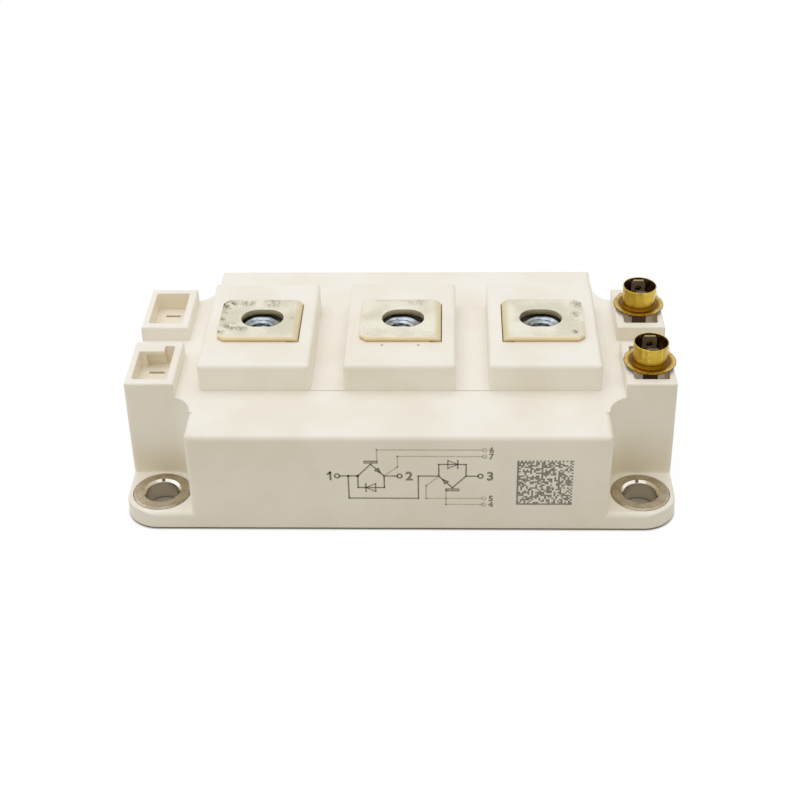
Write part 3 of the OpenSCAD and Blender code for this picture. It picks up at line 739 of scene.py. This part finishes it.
@dataclass
class FlatPrint:
    """Collects thin printed shapes on the case's front wall and makes one piece of them.

    Attributes:
        face_y: The front wall's Y in metres.
        thickness: How far the print stands proud, in millimetres.
    """

    face_y: float
    thickness: float = 0.02

    def __post_init__(self) -> None:
        """Starts with no shapes."""
        self.points: list[list[float]] = []
        self.faces: list[list[int]] = []

    def _take(self, points: np.ndarray, faces: np.ndarray) -> None:
        """Adds points in millimetres, whose Y is measured outwards from the wall, and their faces."""
        self.faces += (faces + len(self.points)).tolist()
        self.points += (points * (MM, -MM, MM) + (0, self.face_y, 0)).tolist()

    def strokes(self, ends: np.ndarray, width: float) -> None:
        """Adds straight strokes: thin boxes along their lines, longer by half a width at both ends.

        Args:
            ends: One row of x0, z0, x1, z1 in millimetres for each stroke.
            width: The strokes' width in millimetres.
        """
        start, stop = ends[:, :2], ends[:, 2:]
        along = (stop - start) / np.linalg.norm(stop - start, axis=1, keepdims=True)
        side = np.column_stack([-along[:, 1], along[:, 0]]) * width / 2
        reach = along * width / 2
        corners = np.stack(
            [start - reach - side, stop + reach - side, stop + reach + side, start - reach + side], 1
        )
        layers = [np.insert(corners, 1, depth, axis=2) for depth in (0.0, self.thickness)]
        offsets = (np.arange(len(ends)) * 8)[:, None, None]
        self._take(np.concatenate(layers, 1).reshape(-1, 3), (PRISM_FACES[None] + offsets).reshape(-1, 4))

    def path(self, points: list[Pair], width: float) -> None:
        """Adds the strokes of an open line through points of x and z."""
        line = np.array(points, float)
        self.strokes(np.hstack([line[:-1], line[1:]]), width)

    def ring(self, centre: Pair, radius: float, width: float, sides: int = 32) -> None:
        """Adds a ring: a section of width by thickness carried round a circle.

        Args:
            centre: The ring's middle in x and z.
            radius: The radius of the stroke's middle line.
            width: The stroke's width.
            sides: How many steps go round.
        """
        turn = np.linspace(0, 2 * np.pi, sides, endpoint=False)[:, None]
        radii = radius + np.array([-1, 1, 1, -1]) * width / 2
        x = centre[0] + np.cos(turn) * radii
        z = centre[1] + np.sin(turn) * radii
        depth = np.broadcast_to(np.array([0, 0, self.thickness, self.thickness]), x.shape)
        self._take(np.stack([x, depth, z], -1).reshape(-1, 3), grid_faces(sides, 4))

    def triangle(self, tip: np.ndarray, back: np.ndarray, half_width: float, line: float) -> None:
        """Adds an open triangle.

        Args:
            tip: Its tip in x and z.
            back: The middle of its base.
            half_width: Half the length of its base.
            line: The width of its strokes.
        """
        along = (back - tip) / np.linalg.norm(back - tip)
        side = np.array([-along[1], along[0]]) * half_width
        self.path([tip, back - side, back + side, tip], line)

    def cells(self, mask: np.ndarray, corner: Pair, size: float) -> None:
        """Adds a square of cells: where the mask is set there is print, with walls only at its edges.

        Args:
            mask: One row of flags for each row of cells, from the bottom up.
            corner: The square's lower left corner in x and z.
            size: The side of a cell.
        """
        rows, columns = mask.shape
        grid_z, grid_x = np.mgrid[0 : rows + 1, 0 : columns + 1]
        layer = (rows + 1) * (columns + 1)
        flat = np.column_stack([corner[0] + grid_x.ravel() * size, corner[1] + grid_z.ravel() * size])
        points = np.concatenate([np.insert(flat, 1, depth, axis=1) for depth in (0.0, self.thickness)])
        wide = np.pad(mask, 1)
        z, x = np.nonzero(mask)
        low = z * (columns + 1) + x
        quads = [
            np.column_stack([low, low + 1, low + columns + 2, low + columns + 1]) + layer,
            np.column_stack([low, low + columns + 1, low + columns + 2, low + 1]),
        ]
        edges = (
            ((-1, 0), (0, 1)),
            ((1, 0), (columns + 2, columns + 1)),
            ((0, -1), (columns + 1, 0)),
            ((0, 1), (1, columns + 2)),
        )
        for (step_z, step_x), (first, second) in edges:
            bare = ~wide[z + 1 + step_z, x + 1 + step_x]
            a, b = low[bare] + first, low[bare] + second
            quads.append(np.column_stack([a, b, b + layer, a + layer]))
        self._take(points, np.concatenate(quads))

    def figure(self, text: str, centre: Pair, height: float, weight: float) -> None:
        """Adds a plain figure, set in the built-in type.

        Args:
            text: The figure.
            centre: Its middle in x and z.
            height: Its height.
            weight: How much its strokes are thickened, as a share of the type's size.
        """
        curve = bpy.data.curves.new("figure", "FONT")
        curve.body = text
        curve.extrude = self.thickness / 2
        curve.resolution_u = 4
        curve.offset = weight
        holder = add_object("figure", curve)
        mesh = bpy.data.meshes.new_from_object(holder.evaluated_get(bpy.context.evaluated_depsgraph_get()))
        shape = bmesh.new()
        shape.from_mesh(mesh)
        bmesh.ops.remove_doubles(shape, verts=shape.verts, dist=1e-5)
        bmesh.ops.triangulate(shape, faces=shape.faces)
        bmesh.ops.recalc_face_normals(shape, faces=shape.faces)
        shape.verts.index_update()
        raw = np.array([v.co for v in shape.verts])
        faces = np.array([[v.index for v in f.verts] for f in shape.faces])
        shape.free()
        bpy.data.objects.remove(holder)
        bpy.data.curves.remove(curve)
        bpy.data.meshes.remove(mesh)
        low, high = raw.min(0), raw.max(0)
        scale = height / (high[1] - low[1])
        flat = (raw[:, :2] - (low[:2] + high[:2]) / 2) * scale + np.array(centre)
        depth = np.where(raw[:, 2] > 0, self.thickness, 0.0)
        self._take(np.column_stack([flat[:, 0], depth, flat[:, 1]]), faces)

    def piece(self, name: str, finish: Finish, slot: str) -> None:
        """Makes one piece of all that was added, without loose points and facing outwards.

        Args:
            name: The piece's name.
            finish: Its finish.
            slot: A material slot's name; it is not used.
        """
        mesh = make_piece(name, self.points, self.faces, finish.build()).data
        shape = bmesh.new()
        shape.from_mesh(mesh)
        bmesh.ops.delete(shape, geom=[v for v in shape.verts if not v.link_faces], context="VERTS")
        bmesh.ops.recalc_face_normals(shape, faces=shape.faces)
        shape.to_mesh(mesh)
        shape.free()


@dataclass
class CasePrint:
    """The marking on the front wall: a half-bridge diagram with numbered ends and a square of cells.

    X is measured from the module's middle and Z from its underside, in millimetres.
    """

    line: float = 0.28
    faint_line: float = 0.26
    bus_z: float = 13.0
    left_x: Pair = (-7.6, -2.65)
    right_x: Pair = (7.6, 12.7)
    cell_height: float = 2.75
    bar_half: float = 1.2
    diode_half: float = 0.92
    ring_r: float = 0.46
    small_ring_r: float = 0.34
    figure_h: float = 2.1
    figure_weight: float = 0.035
    small_figure_h: float = 1.35
    code_corner: Pair = (22.2, 6.2)
    code_side: float = 10.5
    code_cells: int = 30
    code_seed: int = 41
    code_fill: float = 0.54

    def diode(self, pen: FlatPrint, x0: float, x1: float, z: float) -> None:
        """Draws a diode on a line at height z, from its base at x0 to its bar at the tip at x1."""
        pen.triangle(np.array([x1, z]), np.array([x0, z]), self.diode_half, self.line * 0.75)
        pen.path([(x1, z - self.diode_half), (x1, z + self.diode_half)], self.line)

    def transistor(self, pen: FlatPrint, ends: Pair, up: int, arrow_leg: int) -> float:
        """Draws a transistor between two points on the bus.

        Args:
            pen: Takes the shapes.
            ends: The X of its two ends.
            up: 1 if its apex is above the bus and -1 if below.
            arrow_leg: 0 puts the arrow on the left leg and 1 on the right one.

        Returns:
            The height of its gate bar.
        """
        middle = sum(ends) / 2
        apex_z = self.bus_z + up * self.cell_height
        gate_z = apex_z + up * 0.5
        pen.path([(ends[0], self.bus_z), (middle, apex_z), (ends[1], self.bus_z)], self.line)
        for bar_z in (gate_z - 0.2, gate_z + 0.2):
            pen.path([(middle - self.bar_half, bar_z), (middle + self.bar_half, bar_z)], self.line)
        tip = np.array([ends[arrow_leg], self.bus_z])
        leg = np.array([middle, apex_z]) - tip
        pen.triangle(tip + leg * 0.28, tip + leg * 0.56, 0.42, self.line * 0.8)
        return gate_z

    def diagram(self, pen: FlatPrint, faint: FlatPrint) -> None:
        """Draws the two cells of the half bridge, their loop and the control lines.

        Args:
            pen: Takes the power lines and the figures.
            faint: Takes the control lines and their rings.
        """
        left, right, bus, line, thin = self.left_x, self.right_x, self.bus_z, self.line, self.faint_line
        first_x, middle_x, last_x = -11.5, 0.25, 15.4
        control_x = 16.1
        loop_z, loop_x0, loop_x1 = 7.7, -9.4, 3.75
        gate_high, sense_high, sense_low, gate_low = 19.1, 17.6, 7.7, 6.25
        pen.path([(first_x + self.ring_r, bus), (left[0], bus)], line)
        loop = [(loop_x0, bus), (loop_x0, loop_z), (loop_x1, loop_z), (loop_x1, bus), (right[0], bus)]
        pen.path(loop, line)
        cells = ((left, -1, 3.3, 1.45, middle_x), (right, 1, 1.7, 3.55, last_x))
        for (x0, x1), up, base, tip, next_x in cells:
            z = bus + up * self.cell_height
            pen.path([(x0, bus), (x0, z), (x1, z), (x1, bus)], line)
            self.diode(pen, x0 + base, x0 + tip, z)
            pen.path([(x1, bus), (next_x - self.ring_r, bus)], line)
        for ends, up, arrow_leg, knee, gate, sense in (
            (left, 1, 1, (-0.1, 15.1), gate_high, sense_high),
            (right, -1, 0, (5.2, 10.7), gate_low, sense_low),
        ):
            gate_z = self.transistor(pen, ends, up, arrow_leg)
            gate_x = sum(ends) / 2 + up * self.bar_half
            faint.path([(gate_x, gate_z), (gate_x, gate), (control_x - 0.5, gate)], thin)
            emitter = (ends[arrow_leg] + up * 0.3, bus + up * 0.3)
            faint.path([emitter, knee, (knee[0], sense), (control_x - 0.5, sense)], thin)
        for x in (first_x, middle_x, last_x):
            pen.ring((x, bus), self.ring_r, line * 1.15)
        one_x, half = first_x - 1.25, self.figure_h / 2
        pen.path([(one_x - 0.5, bus + 0.4 * half), (one_x, bus + 0.8 * half), (one_x, bus - 0.8 * half)], 0.4)
        for figure, x in (("2", middle_x), ("3", last_x)):
            pen.figure(figure, (x + 1.8, bus), self.figure_h, self.figure_weight)
        for figure, z in (("6", gate_high), ("7", sense_high), ("5", sense_low), ("4", gate_low)):
            faint.ring((control_x, z), self.small_ring_r, thin * 1.2)
            pen.figure(figure, (control_x + 1.3, z), self.small_figure_h, self.figure_weight)
        for x in (loop_x0, left[0]):
            pen.ring((x, bus), 0.14, 0.28, 16)

    def code(self, pen: FlatPrint) -> None:
        """Draws the square of cells: two solid sides, two broken ones, and a seeded filling."""
        count = self.code_cells
        mask = np.random.default_rng(self.code_seed).random((count, count)) < self.code_fill
        steps = np.arange(count) % 2 == 0
        mask[-1, :], mask[:, -1] = steps, ~steps
        mask[0, :], mask[:, 0] = True, True
        pen.cells(mask, self.code_corner, self.code_side / count)

    def make(self, face_y: float) -> None:
        """Makes the diagram, its control lines and the square of cells.

        Args:
            face_y: The front wall's Y in metres.
        """
        drawing, faint, square = FlatPrint(face_y), FlatPrint(face_y), FlatPrint(face_y)
        self.diagram(drawing, faint)
        self.code(square)
        drawing.piece("circuit_print", LaserMark("laser_mark"), "case")
        faint.piece("control_line_print", LaserMark("faint_laser_mark", ("#C9C3B3", "#DDD8CA")), "case")
        square.piece("cell_square_print", LaserMark("laser_cells", ("#85837C", "#A3A098")), "case")


# ---- sub-assemblies


@dataclass
class Assembly:
    """A sub-assembly of the module.

    Attributes:
        nodes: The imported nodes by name.
    """

    nodes: dict[str, bpy.types.Object]

    def dress(self, finish: Finish, slot: str, *names: str) -> None:
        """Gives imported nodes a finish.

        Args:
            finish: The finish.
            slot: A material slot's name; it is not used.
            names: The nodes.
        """
        material = finish.build()
        for name in names:
            node = self.nodes[name]
            if not node.material_slots:
                node.data.materials.append(material)
            for place in node.material_slots:
                place.material = material
            LOG.info("dressed %s in %s", name, material.name)


@dataclass
class Case(Assembly):
    """The moulded case and what is marked on it.

    Attributes:
        pair_shift: How far a pair of tabs stands outwards from the middle of its socket.
        pocket_half: Half the length and width of a socket's pocket.
    """

    pair_shift: float = 0.45
    pocket_half: Pair = (3.4, 5.85)
    pips: tuple[Triple, ...] = ((-3.55, -8.2, 27.7), (3.55, -8.2, 27.7))

    def build(self) -> None:
        """Dresses the housing and prints its front wall."""
        low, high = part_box("housing")
        eyelet_low, eyelet_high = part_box("shorting_eyelet_rear")
        socket = (eyelet_low + eyelet_high) / 2 - Vector((0, self.pair_shift * MM, 0))
        reach = Vector((*self.pocket_half, 0)) * MM
        pips = [Vector(at) * MM for at in self.pips]
        self.dress(MouldedPolyester("moulded_polyester", pips, socket, reach, high.z), "case", "housing")
        CasePrint().make(low.y)


@dataclass
class Base(Assembly):
    """Baseplate, its sealing bead and the four sleeves."""

    bore_r: float = 3.2
    chamfer: float = 0.45

    def build(self) -> None:
        """Dresses the metal that faces the heatsink."""
        self.dress(PlainMetal("nickel_plated_baseplate"), "baseplate", "baseplate")
        bead = PouredSilicone("sealing_bead", ("#D8D4CC", "#CAC6BD"), see_through=0.1)
        self.dress(bead, "sealant", "sealant_bead")
        for corner in ("front_left", "front_right", "rear_left", "rear_right"):
            name = f"mount_bushing_{corner}"
            low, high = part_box(name)
            radii = (self.bore_r * MM, (self.bore_r + self.chamfer) * MM)
            self.dress(TurnedSteel(f"turned_steel_{corner}", (low + high) / 2, *radii), "bushing", name)


@dataclass
class ScrewTerminals(Assembly):
    """The three bent terminals and the threaded nuts under them.

    Attributes:
        plate_half: How far from the hole the flat plate ends and the bend starts.
        flat_share: The radius of the nut's flat face, as a share of half its width across flats.
        mouth_flare: How far the countersink goes out beyond the thread.
        steps_per_turn: Steps along the bore for one pitch.
    """

    plate_half: float = 6.3
    stains: tuple[tuple[Stain, ...], ...] = (
        (
            Stain((-7.2, 5.2), 2.6, 1.4), Stain((-7.8, 2.4), 1.5, 1.0), Stain((-7.8, -0.6), 1.5, 0.9),
            Stain((-3.0, 6.0), 2.2, 0.9), Stain((1.8, 5.8), 2.2, 0.8), Stain((-6.0, -3.2), 2.2, 0.8),
            Stain((-3.6, -3.6), 2.0, 0.7), Stain((-7.6, -5.0), 1.6, 0.8), Stain((6.4, 0.6), 1.4, 0.5),
        ),
        (Stain((3.0, 6.4), 2.4, 0.35),),
        (Stain((7.0, 5.2), 2.0, 0.9), Stain((6.6, 1.4), 1.4, 0.7), Stain((6.0, -5.2), 1.0, 1.0)),
    )
    thread_pitch: float = 1.0
    thread_d: float = 6.0
    thread_h: float = 0.54
    flat_share: float = 0.97
    mouth_flare: float = 0.45
    mouth_h: float = 0.54
    steps: int = 96
    steps_per_turn: int = 12

    def nut_points(self, low: Vector, high: Vector) -> np.ndarray:
        """Works out a threaded hexagonal nut as one closed grid.

        A ring of points at angle t follows the nut's section: up the outside, in over the top, down
        the bore and out under the bottom. Outside, the radius is that of a hexagon,
        r = a / cos(t mod 60 - 30), and the corners drop by (r - c) tan 30 beyond the chamfer circle c.
        In the bore the radius swings between the minor and the nominal one as a triangle wave of
        (z - h) / pitch - t / 360 + 1 / 4, cut off a little at crest and root, and it gives way to the
        countersink at both mouths.

        Args:
            low: The nut's lowest corner in metres.
            high: Its highest corner.

        Returns:
            Points by section step, angle and coordinate, in metres.
        """
        height = (high.z - low.z) / MM
        apothem = (high.x - low.x) / MM / 2
        chamfer_r = apothem * self.flat_share
        turn = np.linspace(0, 2 * np.pi, self.steps, endpoint=False)
        hexagon = apothem / np.cos(np.mod(turn + np.pi / 6, np.pi / 3) - np.pi / 6)
        drop = np.maximum(hexagon - chamfer_r, 0) * math.tan(math.radians(30))
        major = self.thread_d / 2
        minor = major - self.thread_h
        count = int(height / self.thread_pitch * self.steps_per_turn)
        z = np.linspace(height, 0, count + 1)[:, None]
        phase = np.mod((z - height) / self.thread_pitch - turn / (2 * np.pi) + 0.25, 1.0)
        wave = np.clip(np.abs(phase - 0.5) * 2 * 1.15 - 0.05, 0, 1)
        mouth_r = major + self.mouth_flare
        cone = mouth_r - np.minimum(z, height - z) / self.mouth_h * (mouth_r - minor)
        bore = np.maximum(major - (major - minor) * wave, cone)
        flat, zero = np.full_like(turn, chamfer_r), np.zeros_like(turn)
        radius = np.vstack([hexagon, hexagon, flat, bore, flat])
        levels = np.vstack([drop, height - drop, zero + height, z + zero, zero])
        centre = (low + high) / 2
        x = centre.x + radius * np.cos(turn) * MM
        y = centre.y + radius * np.sin(turn) * MM
        return np.stack([x, y, low.z + levels * MM], -1)

    def build(self) -> None:
        """Dresses the terminals and makes the nuts."""
        zinc = ZincPlatedSteel("zinc_plated_steel").build()
        for number, stains in enumerate(self.stains, 1):
            name = f"main_terminal_{number}"
            nut_low, nut_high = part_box(f"terminal_nut_{number}")
            middle = (nut_low + nut_high) / 2
            middle.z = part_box(name)[1].z
            bend = self.plate_half * MM * (-1 if number == 3 else 1)
            self.dress(TinnedCopper(f"tinned_copper_{number}", middle, bend, stains), "terminal", name)
            points = self.nut_points(nut_low, nut_high)
            faces = grid_faces(*points.shape[:2])[:, ::-1].tolist()
            nut = make_piece(f"threaded_nut_{number}", points.reshape(-1, 3).tolist(), faces, zinc)
            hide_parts(f"terminal_nut_{number}")


@dataclass
class ControlEnd(Assembly):
    """The four control tabs and the two shorting eyelets.

    Attributes:
        flange_lift: How far the flange's lower face lies above the eyelet's lowest point.
        bore_r: A radius inside the barrel's wall.
    """

    flange_lift: float = 0.65
    sheet_t: float = 0.2
    bore_r: float = 3.22

    def build(self) -> None:
        """Dresses the tabs, the near one of each pair darker by painted shade, and the eyelets."""
        names = sorted((f"control_tab_{n}" for n in (4, 5, 6, 7)), key=lambda name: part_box(name)[0].y)
        tinned = PlainMetal("tinned_brass_tab", ("#B9A988", "#9A8A6C"), roughness=0.4, metallic=0.6)
        # the near tabs get a darker copy of the tab finish: painted shade
        shaded_tab_finish = PlainMetal("shaded_brass_tab", ("#7A6E5A", "#655A48"), roughness=0.55)
        self.dress(shaded_tab_finish, "tab", *names[::2])
        self.dress(tinned, "tab", *names[1::2])
        for end in ("front", "rear"):
            name = f"shorting_eyelet_{end}"
            low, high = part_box(name)
            root = low.z + (self.flange_lift + self.sheet_t) * MM
            radii = (self.bore_r * MM, (high.x - low.x) / 2)
            self.dress(DrawnBrass(f"drawn_brass_{end}", (low + high) / 2, root, *radii), "eyelet", name)


@dataclass
class Substrates(Assembly):
    """What lies inside the case: tiles, copper, dies, wires and gel."""

    def build(self) -> None:
        """Dresses what is inside."""
        copper = PlainMetal("etched_copper", ("#C68A66", "#B27450"), roughness=0.36)
        sides = ("left", "right")
        sheets = (f"copper_{part}_{side}" for part in ("tracks", "backing") for side in sides)
        self.dress(copper, "copper", *sheets, "bridge_strap_front", "bridge_strap_rear")
        self.dress(SinteredAlumina("sintered_alumina"), "tile", *(f"ceramic_tile_{side}" for side in sides))
        dies = (f"{kind}_{side}_{n}" for kind in ("igbt", "diode") for side in sides for n in (1, 2, 3))
        self.dress(SiliconDie("silicon_die"), "chip", *dies)
        wire = PlainMetal("drawn_aluminium_wire", ("#D5D7D8", "#C2C5C7"), roughness=0.3)
        self.dress(wire, "wire", *(f"bond_wires_{side}" for side in sides))
        self.dress(PouredSilicone("silicone_gel"), "gel", "silicone_gel")


# ---- studio


@dataclass
class Studio:
    """Pale floor, soft lamps, bright surround and the camera.

    The camera turns by yaw, looks down by pitch and tilts by roll, in degrees. Its lens is for a 36 mm
    sensor. The floor is floor_side metres wide, and outside the footprint it glows by floor_glow.
    """

    camera_at: Triple = (9.43, -251.55, 183.77)
    yaw: float = -2.278
    pitch: float = 34.766
    roll: float = -1.255
    lens: float = 66.97
    floor_side: float = 6.0
    foot_corner_r: float = 6.5
    fill: str = "#FFFBEB"
    fill_strength: float = 0.6
    daylight: str = "#E9ECFF"
    key_watts: float = 3.75
    side_watts: float = 0.9
    floor_white: str = "#FFFFFF"
    floor_warm: str = "#D0CBC3"
    floor_shade: str = "#A39C8E"
    floor_glow: float = 0.97

    def camera(self) -> None:
        """Places the camera."""
        data = bpy.data.cameras.new("camera")
        data.lens = self.lens
        data.clip_start = 0.01
        camera = add_object("camera", data)
        turn = (
            Matrix.Rotation(-math.radians(self.yaw), 4, "Z")
            @ Matrix.Rotation(math.radians(90 - self.pitch), 4, "X")
            @ Matrix.Rotation(math.radians(self.roll), 4, "Z")
        )
        camera.matrix_world = Matrix.Translation(Vector(self.camera_at) * MM) @ turn
        bpy.context.scene.camera = camera

    def lamp(self, name: str, place: Vector, side: float, watts: float) -> None:
        """Adds a square soft lamp that faces the module.

        Args:
            name: The lamp's name.
            place: Where it hangs, in metres.
            side: The side of its square in metres.
            watts: Its power.
        """
        data = bpy.data.lights.new(name, "AREA")
        data.size = side
        data.energy = watts
        data.color = linear(self.daylight)[:3]
        aim = (-place).to_track_quat("-Z", "Y").to_matrix().to_4x4()
        add_object(name, data).matrix_world = Matrix.Translation(place) @ aim

    def seen(self, look: Look) -> Socket:
        """A factor that is 1 for camera, glossy and transmission rays."""
        ray = look.add("LightPath").outputs
        return look.combine("MAXIMUM", *(ray[kind] for kind in SEEN_RAYS))

    def surround(self) -> None:
        """Sets a world that is white to look at and lights the module with a soft warm fill."""
        world = bpy.data.worlds.new("surround")
        world.use_nodes = True
        bpy.context.scene.world = world
        look = Look(world.node_tree)
        fill = look.tree.nodes["Background"]
        look.feed(fill, {"Color": self.fill, "Strength": self.fill_strength})
        white = look.add("Background", inputs={"Color": "#FFFFFF", "Strength": 1.0})
        both = look.add("MixShader", inputs={0: self.seen(look), 1: fill.outputs[0], 2: white.outputs[0]})
        look.feed(look.tree.nodes["World Output"], {"Surface": both.outputs[0]})

    def off_footprint(self, look: Look) -> Socket:
        """A mask of the floor outside the module, up to floor_glow.

        Folded into one quarter, a point lies outside the footprint if its distance from the
        footprint's corner circle is more than that circle's radius.

        Args:
            look: The floor's tree.

        Returns:
            The mask's socket.
        """
        radius = self.foot_corner_r * MM
        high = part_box("housing")[1]
        inset = Vector((high.x - radius, high.y - radius, 0))
        vector = look.coords
        for operation, others in (("ABSOLUTE", {}), ("SUBTRACT", {1: inset}), ("MAXIMUM", {1: (0, 0, 0)})):
            vector = look.add("VectorMath", {"operation": operation}, {0: vector} | others).outputs["Vector"]
        away = look.add("VectorMath", {"operation": "LENGTH"}, {0: vector}).outputs["Value"]
        return look.fade(away, radius - 0.3 * MM, radius + 0.5 * MM, self.floor_glow)

    def floor(self) -> None:
        """Lays a pale floor that keeps the module's shadow and is nearly white to look at."""
        half = self.floor_side / 2
        corners = [(-half, -half, 0), (half, -half, 0), (half, half, 0), (-half, half, 0)]
        mesh = bpy.data.meshes.new("floor")
        mesh.from_pydata(corners, [], [(0, 1, 2, 3)])
        material = bpy.data.materials.new("pale_floor")
        material.use_nodes = True
        look = Look(material.node_tree)
        seen, clear = self.seen(look), self.off_footprint(look)
        sight = look.blend(clear, self.floor_shade, self.floor_white)
        look.surface({"Base Color": look.blend(seen, self.floor_warm, sight), "Roughness": 0.9})
        matt = look.tree.nodes["Principled BSDF"].outputs[0]
        glow = look.add("Emission", inputs={"Color": "#FFFFFF", "Strength": 1.0}).outputs[0]
        share = look.combine("MULTIPLY", seen, clear)
        both = look.add("MixShader", inputs={0: share, 1: matt, 2: glow})
        look.feed(look.tree.nodes["Material Output"], {"Surface": both.outputs[0]})
        mesh.materials.append(material)
        add_object("floor", mesh)

    def build(self) -> None:
        """Sets up the whole studio."""
        self.camera()
        self.surround()
        self.floor()
        self.lamp("key_lamp", Vector((-0.05, 0.1, 0.9)), 0.9, self.key_watts)
        self.lamp("side_lamp", Vector((-0.9, -0.05, 0.45)), 0.7, self.side_watts)
        bpy.context.scene.view_settings.view_transform = "Standard"


def main() -> None:
    """Builds the dressed module in its studio."""
    logging.basicConfig(level=logging.INFO, format="%(name)s: %(message)s")
    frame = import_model()
    nodes = frame["nodes"]
    for assembly in (Case(nodes), Base(nodes), ScrewTerminals(nodes), ControlEnd(nodes), Substrates(nodes)):
        assembly.build()
    Studio().build()


if __name__ == "__main__":
    main()
